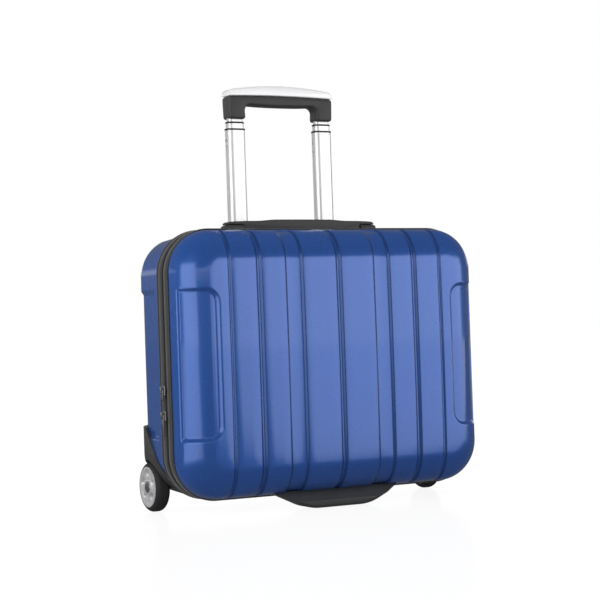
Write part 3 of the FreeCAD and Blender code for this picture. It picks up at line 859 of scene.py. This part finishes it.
            def in_opening(f: bmesh.types.BMFace) -> bool:
                """Says whether a face lies in the bezel's opening or a wheel's."""
                c = f.calc_center_median()
                if c.z > bezel_under and c.y > bezel_front and left < c.x < right:
                    return True
                return (abs(c.x - self.mid_x) > near_x and c.y > front_y and c.z < top_z
                        and (c - foot).dot(turn) < 0)

            drop_faces(piece, in_opening)


# ---- the trolley grip

@dataclass
class TrolleyGrip:
    """The black pull grip with its silver cap and release button."""

    mid_x: float = 3.5 * MM
    half: float = 75.4 * MM
    low: float = 490.7 * MM
    leg_inner: float = 51.4 * MM
    leg_outer: float = 74.6 * MM
    under: float = 509.2 * MM
    sag: float = 1.1 * MM
    parting: Point = (519.8 * MM, 521.3 * MM)
    crest: Point = (528.2 * MM, 534.5 * MM)
    end_round: float = 6.5 * MM
    near: float = 51.9 * MM
    far: float = 74.6 * MM

    def rise(self, ends: Point, x: float) -> float:
        """The height at x of a line that is ends[0] high at its ends and ends[1] midway."""
        return ends[1] - (ends[1] - ends[0]) * (x / self.half) ** 2

    def span(self, ends: Point, left: float, right: float) -> list[Point]:
        """Points of a crowned line from left to right."""
        steps = 20
        places = [left + (right - left) * i / steps for i in range(steps + 1)]
        return [(x, self.rise(ends, x)) for x in places]

    def underside(self) -> list[Point]:
        """The inner line of the grip from the right leg's foot to the left one's."""
        turn = 7.5 * MM
        side = self.leg_inner + 0.6 * MM
        right = arc((side - turn, self.under - turn), turn, 0, 90)
        middle = [(x * MM, self.under - self.sag * (1 - (x * MM / side) ** 2))
                  for x in (30, 20, 10, 0, -10, -20, -30)]
        left = [(-x, z) for x, z in reversed(right)]
        return [(self.leg_inner, self.low), *right, *middle, *left, (-self.leg_inner, self.low)]

    def across(self, outline: list[Point]) -> list[Point]:
        """Moves an outline to the case's middle."""
        return [(self.mid_x + x, z) for x, z in outline]

    def grip(self) -> Piece:
        """Makes the black grip, whose legs take the inner tubes."""
        outer = [(-self.leg_outer, self.low), (-self.leg_outer - 0.4 * MM, 500 * MM),
                 (-self.half, 512 * MM)]
        outline = (outer + self.span(self.parting, -self.half, self.half)
                   + [(-x, z) for x, z in reversed(outer)] + self.underside())
        piece = extruded("pull_grip_formed", self.across(outline), self.near, self.far)
        return finished(piece, "pull_grip", 3.6 * MM, 5, 50)

    def cap(self) -> Piece:
        """Makes the silver cap with the opening for its button."""
        gap = 0.25 * MM
        left = (-self.half, self.rise(self.parting, self.half) + gap)
        top = self.span(self.crest, -self.half + self.end_round, self.half - self.end_round)
        start = top[0][1] - self.end_round
        corner = arc((-self.half + self.end_round, start), self.end_round, 180, 100, 6)
        bottom = [(x, z + gap) for x, z in self.span(self.parting, self.half, -self.half)]
        outline = corner + top + [(-x, z) for x, z in reversed(corner)] + bottom[:-1] + [left]
        piece = extruded("grip_cap_formed", self.across(outline), self.near, self.far)
        low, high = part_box("release_button")
        edge = 0.35 * MM
        take_away(piece, add_block("well", (low.x - edge, low.y - edge, low.z - 2 * MM),
                                   (high.x + edge, high.y + edge, high.z + 5 * MM)))
        return finished(piece, "grip_cap", 1.8 * MM, 4, 50)

    def button(self) -> Piece:
        """Makes the release button, crowned like the cap round it."""
        low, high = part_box("release_button")
        piece = add_block("release_button_formed", low, (high.x, high.y, self.crest[1] + 0.3 * MM))
        with editing(piece, "EDGE"):
            bevel_edges(piece, runs_along(Z), 4.5 * MM, 8)
        return finished(piece, "release_button", 0.9 * MM, 3, 50)

    def build(self) -> None:
        """Builds the grip, the cap and the button."""
        self.grip()
        self.cap()
        self.button()


# ---- the carry handle and the foot

def carry_handle() -> Piece:
    """Makes the low carry handle, a flat arch between two mounted ends.

    Returns:
        The finished handle.
    """
    low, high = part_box("carry_handle")
    mid = (low.x + high.x) / 2
    # Places in mm from the middle and from the ground, on the right half: the mounted end, the
    # rise to the arch, the arch's top, then the underside from the end towards the middle.
    top = [(104.8, 351.4), (104.2, 353.4), (102.0, 355.0), (96.0, 355.6), (80.0, 356.1)]
    rise = [(66.0 - 30.0 * i / 8, 356.2 + 1.7 * smooth_step(0, 8, i)) for i in range(8)]
    arch = [(x, 357.9 + 0.06 * math.cos(x / 48 * math.pi)) for x in (36.0, 24.0, 12.0)]
    under = [(52.0 - 12.0 * i / 8, 342.4 + 1.4 * smooth_step(0, 8, i)) for i in range(9)]
    right = top + rise + arch
    belly = [(83.6, 351.4), (83.4, 342.3), *under]
    outline = ([(mid - x * MM, z * MM) for x, z in right] + [(mid, 357.96 * MM)]
               + [(mid + x * MM, z * MM) for x, z in reversed(right)]
               + [(mid + x * MM, z * MM) for x, z in belly]
               + [(mid - x * MM, z * MM) for x, z in reversed(belly)])
    piece = extruded("carry_handle_formed", outline, low.y, high.y)
    return finished(piece, "carry_handle", 1.6 * MM, 4, 50)


def front_foot() -> Piece:
    """Makes the foot, whose front leans back to meet the shell.

    Returns:
        The finished foot.
    """
    low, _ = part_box("front_foot")
    piece = cleaned_copy("front_foot")
    with editing(piece, "VERT"):
        select_whole()
        bpy.ops.mesh.bisect(plane_co=(0, low.y, 9 * MM), plane_no=(0, -15, 14),
                            use_fill=True, clear_outer=True)
    return finished(piece, "front_foot", 2.2 * MM, 4, 28, Palette.FOOT)


# ---- the wheels

@dataclass
class RoadWheel:
    """One small wheel: a rounded tyre on a silver hub with five shallow windows."""

    side: Side
    windows: int = 5
    window_radius: float = 6.9 * MM
    window_place: float = 15.6 * MM
    window_depth: float = 2.4 * MM
    window_slope: float = 3.6 * MM
    bore: float = 6.75 * MM

    def __post_init__(self) -> None:
        """Reads the wheel's place from its CAD tyre."""
        self.tyre_node, self.hub_node = (f"wheel_{part}_{self.side.name.lower()}"
                                         for part in ("tyre", "hub"))
        low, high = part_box(self.tyre_node)
        inner = low.x if self.side is Side.RIGHT else high.x
        self.centre = Vector((inner, (low.y + high.y) / 2, (low.z + high.z) / 2))

    def tyre(self) -> Piece:
        """Makes the tyre with its rounded shoulders."""
        corner = [(x * MM, z * MM) for x, z in arc((12.4, 23.0), 7.55, 90, 20, 12)]
        inner = [(20 * MM - x, z) for x, z in reversed(corner)]
        profile = [(0.8 * MM, 24.6 * MM), *inner, *corner, (19.2 * MM, 24.6 * MM)]
        piece = turned(self.tyre_node + "_formed", profile, self.centre, self.side, 128)
        shade(piece, 40)
        return settle(piece, self.tyre_node)

    def hub(self) -> Piece:
        """Makes the hub with its bright rim, dish and windows, which are pressed into it."""
        # Points of the profile are in mm: first how far out, then the radius.
        rings = [i * 0.55 for i in range(20)]
        dish = [((19.0 - 1.0 * smooth_step(0, 2.2, r) * smooth_step(11.2, 9.2, r)) * MM,
                 (9.4 + r) * MM) for r in rings]
        rim = [(18.7, 21.4), (19.2, 22.0), (19.6, 22.8), (19.6, 24.2), (19.3, 25.0), (18.7, 25.6)]
        profile = ([(0.9 * MM, self.bore), (0.9 * MM, 24.5 * MM), (17.5 * MM, 24.5 * MM)]
                   + [(x * MM, r * MM) for x, r in reversed(rim)] + list(reversed(dish))
                   + [(19.2 * MM, 8.7 * MM), (19.4 * MM, 8.0 * MM), (19.4 * MM, 7.3 * MM),
                      (19.0 * MM, self.bore)])
        piece = turned(self.hub_node + "_formed", profile, self.centre, self.side, 180)
        face = self.centre.x + self.side.value * 12 * MM
        for v in piece.data.vertices:
            if (v.co.x - face) * self.side.value < 0:
                continue
            nearest = min(math.hypot(v.co.y - y, v.co.z - z) for y, z in self.places())
            v.co.x -= self.side.value * self.window_depth * smooth_step(
                self.window_radius, self.window_radius - self.window_slope, nearest)
        shade(piece)
        return settle(piece, self.hub_node)

    def places(self) -> list[Point]:
        """The middles of the windows in Y and Z."""
        turns = [math.radians(90 + 360 * i / self.windows) for i in range(self.windows)]
        return [(self.centre.y + self.window_place * math.cos(t),
                 self.centre.z + self.window_place * math.sin(t)) for t in turns]

    def build(self) -> None:
        """Builds the tyre and the hub."""
        self.tyre()
        self.hub()


# ---- the zip

@dataclass
class ZipBand:
    """One half of the sewn zip band: piping, a turned seam and the tape's edge."""

    half: Half
    corner: float = 56 * MM
    swell: float = 2.1 * MM
    thick: float = 2.6 * MM
    rows: int = 22
    piping_end: float = 0.24
    seam_at: float = 0.27
    seam_width: float = 0.035
    fold_at: float = 0.86

    def lift(self, share: float) -> float:
        """How proud the band stands at a share of the way from the shell to the zip."""
        piping = 0.55 + 0.45 * math.sin(math.pi * min(share / self.piping_end, 1.0))
        seam = 1.0 - 0.9 * math.exp(-((share - self.seam_at) / self.seam_width) ** 2)
        tape = 0.62 + 0.25 * math.sin(math.pi * max(share - self.seam_at, 0) / 0.6)
        edge = 1.0 - 0.55 * smooth_step(self.fold_at, 1.0, share)
        return (piping if share < self.piping_end else tape) * seam * edge

    def build(self) -> Piece:
        """Builds the band in place of its CAD node."""
        node = self.half.value + "_band"
        low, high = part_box(node)
        lip, zip_edge = (low.y, high.y) if self.half is Half.FRONT else (high.y, low.y)
        inset = Vector((self.swell, 0, self.swell))
        outline = RoundedOutline(low + inset, high - inset, self.corner - self.swell)
        piece = outline.tube(node + "_sewn", low.y, high.y)
        with editing(piece):
            slice_across(Y, [low.y + (high.y - low.y) * i / self.rows
                             for i in range(1, self.rows)])
            face_outwards()
        for v in piece.data.vertices:
            share = (v.co.y - lip) / (zip_edge - lip)
            v.co += outline.outward(v.co) * self.swell * self.lift(share)
        apply_modifier(piece, "SOLIDIFY", thickness=self.thick, offset=-1.0)
        shade(piece)
        return settle(piece, node)


# ---- soft pieces inside

@dataclass
class StretchedCloth:
    """A thin lining drawn tight, with a folded hem and small puckers beside it."""

    node: str
    corner: float = 40 * MM
    hem: float = 7 * MM
    pucker: float = 0.3 * MM
    pucker_reach: float = 34 * MM
    pitches: Point = (9 * MM, 3.7 * MM)
    hem_rise: float = 0.35 * MM
    thick: float = 0.8 * MM
    cell: float = 3.0 * MM

    def build(self) -> Piece:
        low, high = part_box(self.node)
        outline = RoundedOutline(low, high, self.corner)
        mid = (low + high) / 2
        clear_selection()
        across, tall = high.x - low.x, high.z - low.z
        bpy.ops.mesh.primitive_grid_add(x_subdivisions=int(across / self.cell),
                                        y_subdivisions=int(tall / self.cell), size=1,
                                        location=mid, rotation=(math.pi / 2, 0, 0))
        piece = bpy.context.object
        piece.name = piece.data.name = self.node + "_sewn"
        piece.scale = (across, tall, 1)
        bpy.ops.object.transform_apply(location=True, rotation=True, scale=True)
        for v in piece.data.vertices:
            out = outline.outward(v.co)
            if abs(out.x) > 1e-4 and abs(out.z) > 1e-4:
                reach = Vector((abs(v.co.x - mid.x) - across / 2 + self.corner, 0,
                                abs(v.co.z - mid.z) - tall / 2 + self.corner)).length
                v.co -= out * max(0.0, reach - self.corner)
            edge = min(v.co.x - low.x, high.x - v.co.x, v.co.z - low.z, high.z - v.co.z)
            along = v.co.x if min(v.co.z - low.z, high.z - v.co.z) < 20 * MM else v.co.z
            wide, fine = self.pitches
            fold = math.sin(along / wide) + 0.5 * math.sin(along / fine + 1.3)
            fade = smooth_step(self.pucker_reach, self.hem, edge) * smooth_step(0.0, self.hem, edge)
            v.co.y += self.pucker * fold * fade
            v.co.y += self.hem_rise * smooth_step(self.hem + 1.2 * MM, self.hem, edge)
        apply_modifier(piece, "SOLIDIFY", thickness=self.thick, offset=0.0)
        shade(piece)
        settle(piece, self.node)
        return piece


@dataclass
class PaddedPanel:
    """A flat padded pocket with sewn edges and quilted channels."""

    node: str
    fill: float
    seams_x: tuple[float, ...]
    seams_z: tuple[float, ...]
    corner: float = 14 * MM
    edge_share: float = 0.42
    stitch: float = 0.22
    stitch_width: float = 2.6 * MM
    edge_round: float = 1.6 * MM
    waist: float = 1.5 * MM

    def build(self) -> Piece:
        low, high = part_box(self.node)
        mid, half = (low + high) / 2, (high - low) / 2
        piece = add_block(self.node + "_padded", low, high)
        with editing(piece, "EDGE"):
            bevel_edges(piece, runs_along(Y), self.corner, 8)
            bpy.ops.mesh.select_mode(type="FACE")
            slice_across(X, [mid.x + half.x * (i / 40 - 1) for i in range(1, 80)])
            slice_across(Z, [low.z + 2 * half.z * i / 64 for i in range(1, 64)])
            slice_across(Y, [low.y + 2 * half.y * i / 6 for i in range(1, 6)])
        for v in piece.data.vertices:
            u, w = (v.co.x - mid.x) / half.x, (v.co.z - mid.z) / half.z
            depth = (v.co.y - mid.y) / half.y
            crown = math.sqrt(max(0.0, (1 - abs(u) ** 5) * (1 - abs(w) ** 5)))
            apart = [(u - place) * half.x for place in self.seams_x]
            apart += [(w - place) * half.z for place in self.seams_z]
            groove = 1.0 - sum(self.stitch * math.exp(-(d / self.stitch_width) ** 2) for d in apart)
            puff = self.edge_share + (1 - self.edge_share) * crown
            v.co.y = mid.y + (v.co.y - mid.y) * puff * max(groove, 0.5)
            round_in = self.edge_round * abs(depth) ** 3
            v.co.x -= math.copysign((round_in + self.waist * (1 - w * w)) * abs(u) ** 8, u)
            v.co.z -= math.copysign((round_in + self.waist * (1 - u * u)) * abs(w) ** 8, w)
        shade(piece, 60)
        settle(piece, self.node)
        return piece


def webbing(node: str) -> Piece:
    """Args:
        node: the CAD strap that it replaces.

    Returns:
        The finished strap.
    """
    low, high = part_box(node)
    mid = (low + high) / 2
    length, width = high.x - low.x, high.z - low.z
    half_thick, sag, selvedge_rise, stitch_rise = 0.6 * MM, 0.35 * MM, 0.16 * MM, 0.12 * MM
    stitch_at, stitch_reach, waist = 9 * MM, 1.3 * MM, 0.4 * MM
    piece = add_block(node + "_woven", (low.x, mid.y - half_thick, low.z),
                      (high.x, mid.y + half_thick, high.z))
    with editing(piece):
        slice_across(X, [low.x + length * i / 72 for i in range(1, 72)])
        slice_across(Z, [low.z + width * i / 20 for i in range(1, 20)])
    for v in piece.data.vertices:
        share, height = (v.co.x - low.x) / length, abs(v.co.z - mid.z) / (width / 2)
        v.co.y += sag * math.sin(math.pi * share) * math.sin(2.6 * math.pi * share)
        selvedge = selvedge_rise * smooth_step(0.84, 0.92, height)
        end = min(v.co.x - low.x, high.x - v.co.x)
        stitched = stitch_rise * (abs(end - stitch_at) < stitch_reach)
        v.co.y += math.copysign(selvedge + stitched, v.co.y - mid.y)
        v.co.z -= math.copysign(waist * math.sin(math.pi * share), v.co.z - mid.z) * height
    shade(piece)
    settle(piece, node)
    return piece


def hinge_tape(node: str) -> Piece:
    """Makes one cloth leaf of the hinge under the case, with a rounded woven face.

    Args:
        node: the CAD leaf that it replaces.

    Returns:
        The finished leaf.
    """
    low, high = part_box(node)
    piece = add_block(node + "_woven", low, high)
    with editing(piece):
        slice_across(X, [low.x + (high.x - low.x) * i / 100 for i in range(1, 100)])
    mid = (low + high) / 2
    for v in piece.data.vertices:
        v.co.z -= math.copysign(0.12 * MM * (1 + math.sin(v.co.x / (2.1 * MM))), v.co.z - mid.z)
    return finished(piece, node, 0.4 * MM, angle=50)


def soften_hardware() -> None:
    """Puts copies with softened edges in place of the machined hard pieces."""
    for node, width in EASED.items():
        finished(cleaned_copy(node), node, width * MM)


# ---- the studio

@dataclass
class Studio:
    """The pale floor, soft lamps and the camera."""

    eye: tuple[float, float, float] = (-986.0 * MM, -1838.85 * MM, 218.2 * MM)
    azimuth: float = math.radians(28.03)
    pitch: float = math.radians(1.026)
    roll: float = math.radians(-1.984)
    lens: float = 98.91
    white: float = 1.06
    far_white: float = 1.14
    floor_share: float = 0.85
    ambient: float = 0.42
    room_glow: float = 0.15
    box_glow: float = 1.4
    dark_floor: float = 0.12
    boxes: tuple[tuple[tuple[float, float], ...], ...] = (
        ((10, 19), (68, 80), (-1, -0.9), (0.22, 0.34), 1.65),
        ((-88, -70), (-34, -27), (-1, -0.9), (0.30, 0.45), 1.7),
        ((-34, -26), (8, 17), (0.05, 0.08), (0.16, 0.22), 0.9),
        ((100, 130), (181, 182), (0.05, 0.08), (0.16, 0.22), 1.0),
        ((-182, -181), (-120, -100), (0.05, 0.08), (0.12, 0.17), 0.45))
    target: tuple[float, float, float] = (0, 0, 0.2)
    lamps: tuple[tuple, ...] = (
        ("key", (-1.7, -1.6, 1.5), 1.4, 1.4, 26.0), ("fill", (1.9, -1.5, 0.9), 1.2, 1.8, 16.0),
        ("side", (-2.3, 0.7, 0.9), 1.4, 1.4, 34.0), ("top", (0.1, -0.2, 2.2), 1.6, 1.6, 14.0))
    lit_near: tuple[tuple[float, float], ...] = ((8, 20), (0.20, 0.62))
    lit_beside: tuple[tuple[float, float], ...] = ((-30, -38), (-96, -84), (-0.32, -0.72))

    def place_camera(self) -> None:
        """Stands the camera at its viewing place."""
        a, p, r = self.azimuth, self.pitch, self.roll
        ahead = Vector((math.sin(a) * math.cos(p), math.cos(a) * math.cos(p), math.sin(p)))
        right = Vector((math.cos(a), -math.sin(a), 0))
        up = right.cross(ahead)
        across = right * math.cos(r) + up * math.sin(r)
        upward = up * math.cos(r) - right * math.sin(r)
        data = bpy.data.cameras.new("camera")
        data.lens, data.sensor_width = self.lens, 36
        camera = placed("camera", data)
        turn = Matrix((across, upward, -ahead)).transposed().to_4x4()
        camera.matrix_world = Matrix.Translation(self.eye) @ turn
        bpy.context.scene.camera = camera

    def hang_lamps(self) -> None:
        """Hangs the soft boxes."""
        for name, place, wide, tall, power in self.lamps:
            data = bpy.data.lights.new(name, "AREA")
            data.shape, data.size, data.size_y, data.energy = "RECTANGLE", wide, tall, power
            lamp = placed(name, data)
            lamp.location = place
            lamp.visible_glossy = False
            ahead = Vector(self.target) - Vector(place)
            lamp.rotation_euler = ahead.to_track_quat("-Z", "Y").to_euler()

    def lay_floor(self) -> None:
        """Lays the pale floor, which stays white and mirrors the case faintly.

        What the floor gives to reflections is bright only in front of the case and to its
        side, each within a span of headings in degrees and of distances in metres.
        """
        clear_selection()
        bpy.ops.mesh.primitive_plane_add(size=60, location=(0, 0, 0))
        floor = bpy.context.object
        floor.name = "floor"
        sheet = NodeSheet.material("floor_white")
        sheet.set(Roughness=0.16, Specular_IOR_Level=0.5, Base_Color=(0.80, 0.80, 0.81, 1))
        path = sheet.add("LightPath").outputs
        x, ahead, _, heading = sheet.split(sheet.places())
        (turn, reach), (left, back, side) = self.lit_near, self.lit_beside
        near = sheet.sum_up("MULTIPLY", sheet.ramp(heading, *map(math.radians, turn)),
                            sheet.ramp(ahead, *reach))
        beside = sheet.sum_up("MULTIPLY", sheet.ramp(heading, *map(math.radians, left)),
                              sheet.ramp(heading, *map(math.radians, back)),
                              sheet.ramp(x, *side))
        lit = sheet.spread(sheet.sum_up("MAXIMUM", near, beside), self.dark_floor, self.box_glow)
        glow = sheet.add("Emission", Strength=lit)
        far = sheet.ramp(ahead, -0.3, -1.4, self.white, self.far_white)
        white = sheet.add("Emission", Strength=far)
        shown = sheet.sum_up("MULTIPLY", path["Is Camera Ray"], self.floor_share)
        shader = sheet.shader
        for factor, other in ((shown, white), (path["Is Glossy Ray"], glow)):
            mix = sheet.add("MixShader")
            for value, target in zip((factor, shader.outputs[0], other.outputs[0]), mix.inputs):
                sheet.feed(value, target)
            shader = mix
        sheet.feed(shader.outputs[0], sheet.tree.nodes["Material Output"].inputs["Surface"])
        floor.data.materials.append(sheet.owner)

    def hang_sky(self) -> None:
        """Surrounds the case with a dim white room that has soft boxes in it.

        The camera sees plain white. Reflections see the boxes: each rises and falls over
        spans of headings, in degrees to the right of straight ahead, and over spans of height.
        """
        world = bpy.data.worlds.new("room")
        bpy.context.scene.world = world
        sheet = NodeSheet(world)
        _, _, height, heading = sheet.split(sheet.add("TexCoord").outputs["Generated"])
        boxes = [sheet.sum_up("MULTIPLY", sheet.ramp(heading, *map(math.radians, rise)),
                              sheet.ramp(heading, *map(math.radians, fall), 1.0, 0.0),
                              sheet.ramp(height, *bottoms),
                              sheet.ramp(height, *tops, glow, 0.0))
                 for rise, fall, bottoms, tops, glow in self.boxes]
        dim = sheet.ramp(height, 0.0, 1.0, self.room_glow, self.room_glow * 0.8)
        room = sheet.sum_up("ADD", dim, *boxes)
        path, back = sheet.add("LightPath").outputs, sheet.tree.nodes["Background"]
        mirrored = sheet.mixed(path["Is Glossy Ray"], self.ambient, room, colours=False)
        seen = sheet.mixed(path["Is Camera Ray"], mirrored, 1.0, colours=False)
        sheet.feed((1, 1, 1, 1), back.inputs["Color"])
        sheet.feed(seen, back.inputs["Strength"])
        bpy.context.scene.view_settings.view_transform = "Standard"

    def build(self) -> None:
        """Sets up the whole studio."""
        self.place_camera()
        self.hang_lamps()
        self.lay_floor()
        self.hang_sky()


# ---- build

def dress_nodes() -> None:
    """Gives every CAD node that still shows the finish of its slot."""
    for name, slot in SLOTS.items():
        node = frame["nodes"][name]
        material = paint(FINISHES[slot])
        if not node.material_slots:
            node.data.materials.append(material)
        for held in node.material_slots:
            held.material = material


def main() -> None:
    """Builds the case and its studio."""
    logging.basicConfig(level=logging.INFO, format="%(name)s %(message)s")
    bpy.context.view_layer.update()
    dress_nodes()
    for half in Half:
        HalfShell(half).build()
        ZipBand(half).build()
        hinge_tape(half.value + "_hinge_tape")
    TrolleyGrip().build()
    carry_handle()
    front_foot()
    for side in Side:
        RoadWheel(side).build()
        webbing(f"packing_strap_{side.name.lower()}")
    StretchedCloth("front_lining").build()
    StretchedCloth("back_lining").build()
    PaddedPanel("laptop_sleeve", 0.6, seams_x=(-0.94, 0.94), seams_z=(-0.92, 0.80)).build()
    PaddedPanel("organiser_pocket", 0.35, seams_x=(-0.94, -0.02, 0.94),
                seams_z=(-0.92, 0.86)).build()
    soften_hardware()
    Studio().build()


if __name__ == "__main__":
    main()
